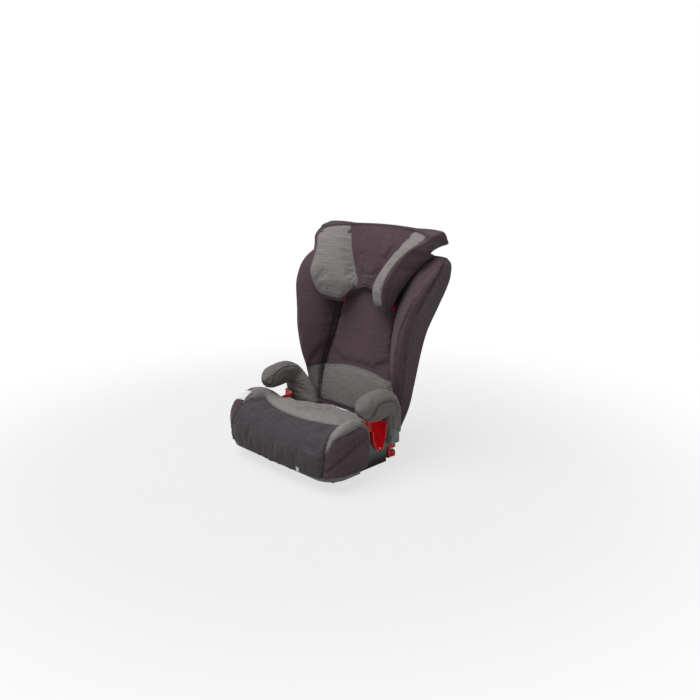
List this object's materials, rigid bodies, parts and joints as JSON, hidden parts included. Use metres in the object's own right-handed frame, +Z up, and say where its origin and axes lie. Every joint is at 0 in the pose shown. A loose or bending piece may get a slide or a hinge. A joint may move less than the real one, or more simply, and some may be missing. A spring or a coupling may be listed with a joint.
{
  "type": "high-back booster seat",
  "caption": "High-back child booster seat: padded winged backrest that reclines, headrest that slides up, armrests over red lap-belt guides, and anchor arms that pull out of the rear.",
  "frame": {"origin": "on the underside of the seat, on the mid plane, at floor level", "axes": "+Z up, -Y towards the front of the seat, +X to the right of someone facing the seat"},
  "size_m": [0.5044, 0.5188, 0.6615],
  "materials": {
    "plum_cloth": "woven plum-brown cover cloth",
    "grey_cloth": "woven grey cover cloth",
    "foam": "moulded foam",
    "shell_plastic": "fine matte grain",
    "dark_plastic": "matte",
    "red_plastic": "satin",
    "steel": "zinc plated"
  },
  "bodies": {
    "base": {"seat_shell": "shell_plastic", "underside_cover": "dark_plastic", "hinge_axle": "steel", "seat_foam": "foam", "seat_cover": "grey_cloth", "armrest_left": "shell_plastic", "armrest_right": "shell_plastic", "armrest_cover_left": "grey_cloth", "armrest_cover_right": "grey_cloth", "lap_guide_left": "red_plastic", "lap_guide_right": "red_plastic", "pawl_pin": "steel"},
    "lock_pawl": {"lock_pawl": "steel"},
    "release_handle": {"release_handle": "red_plastic"},
    "anchor_frame": {"isofix_arm_left": "shell_plastic", "isofix_arm_right": "shell_plastic", "isofix_jaw_left": "steel", "isofix_jaw_right": "steel", "isofix_crossbar": "steel", "lock_strip": "steel", "latch_pin_left": "steel", "latch_pin_right": "steel"},
    "latch_hook_left": {"latch_hook_left": "steel"},
    "latch_hook_right": {"latch_hook_right": "steel"},
    "anchor_slider_left": {"isofix_button_left": "red_plastic"},
    "anchor_slider_right": {"isofix_button_right": "red_plastic"},
    "backrest": {"backrest_shell": "shell_plastic", "backrest_foam": "foam", "backrest_cover": "plum_cloth", "lumbar_pad": "grey_cloth", "hinge_hook_left": "dark_plastic", "hinge_hook_right": "dark_plastic", "stem_rail_left": "dark_plastic", "stem_rail_right": "dark_plastic", "height_rack": "steel"},
    "headrest": {"headrest_shell": "shell_plastic", "headrest_foam": "foam", "headrest_cover": "plum_cloth", "cheek_pad_left": "grey_cloth", "cheek_pad_right": "grey_cloth", "shoulder_guide_left": "red_plastic", "shoulder_guide_right": "red_plastic", "headrest_stem": "shell_plastic", "lever_pin": "steel"},
    "height_lever": {"adjuster_lever": "red_plastic"}
  },
  "joints": [
    {"name": "recline", "type": "hinge", "parent": "base", "child": "backrest", "pos_m": [0, 0.118, 0.1], "axis": [-1, 0, 0], "range_deg": [-3, 10]},
    {"name": "headrest_height", "type": "slide", "parent": "backrest", "child": "headrest", "axis": [0, 0.2419, 0.9703], "range_m": [0, 0.15]},
    {"name": "height_release", "type": "hinge", "parent": "headrest", "child": "height_lever", "pos_m": [0, 0.27151, 0.50489], "axis": [1, 0, 0], "range_deg": [0, 2.5], "stiffness_Nm_per_rad": 6, "springref_deg": -1.15},
    {"name": "anchor_reach", "type": "slide", "parent": "base", "child": "anchor_frame", "axis": [0, 1, 0], "range_m": [0, 0.096]},
    {"name": "release_pull", "type": "slide", "parent": "base", "child": "release_handle", "axis": [0, -1, 0], "range_m": [0, 0.01], "stiffness_N_per_m": 500, "springref_m": -0.002},
    {"name": "pawl_turn", "type": "hinge", "parent": "base", "child": "lock_pawl", "pos_m": [0, -0.062, 0.052], "axis": [1, 0, 0], "range_deg": [0, 8]},
    {"name": "slider_left", "type": "slide", "parent": "anchor_frame", "child": "anchor_slider_left", "axis": [0, -1, 0], "range_m": [0, 0.007], "stiffness_N_per_m": 600, "springref_m": -0.002},
    {"name": "slider_right", "type": "slide", "parent": "anchor_frame", "child": "anchor_slider_right", "axis": [0, -1, 0], "range_m": [0, 0.007], "stiffness_N_per_m": 600, "springref_m": -0.002},
    {"name": "hook_left", "type": "hinge", "parent": "anchor_frame", "child": "latch_hook_left", "pos_m": [-0.14, 0.101, 0.036], "axis": [1, 0, 0], "range_deg": [0, 24.1]},
    {"name": "hook_right", "type": "hinge", "parent": "anchor_frame", "child": "latch_hook_right", "pos_m": [0.14, 0.101, 0.036], "axis": [1, 0, 0], "range_deg": [0, 24.1]}
  ],
  "couplings": [
    {"joint": "pawl_turn", "follows": "release_pull", "rad_per_m": 13.95},
    {"joint": "hook_left", "follows": "slider_left", "rad_per_m": 59.84},
    {"joint": "hook_right", "follows": "slider_right", "rad_per_m": 59.84}
  ]
}
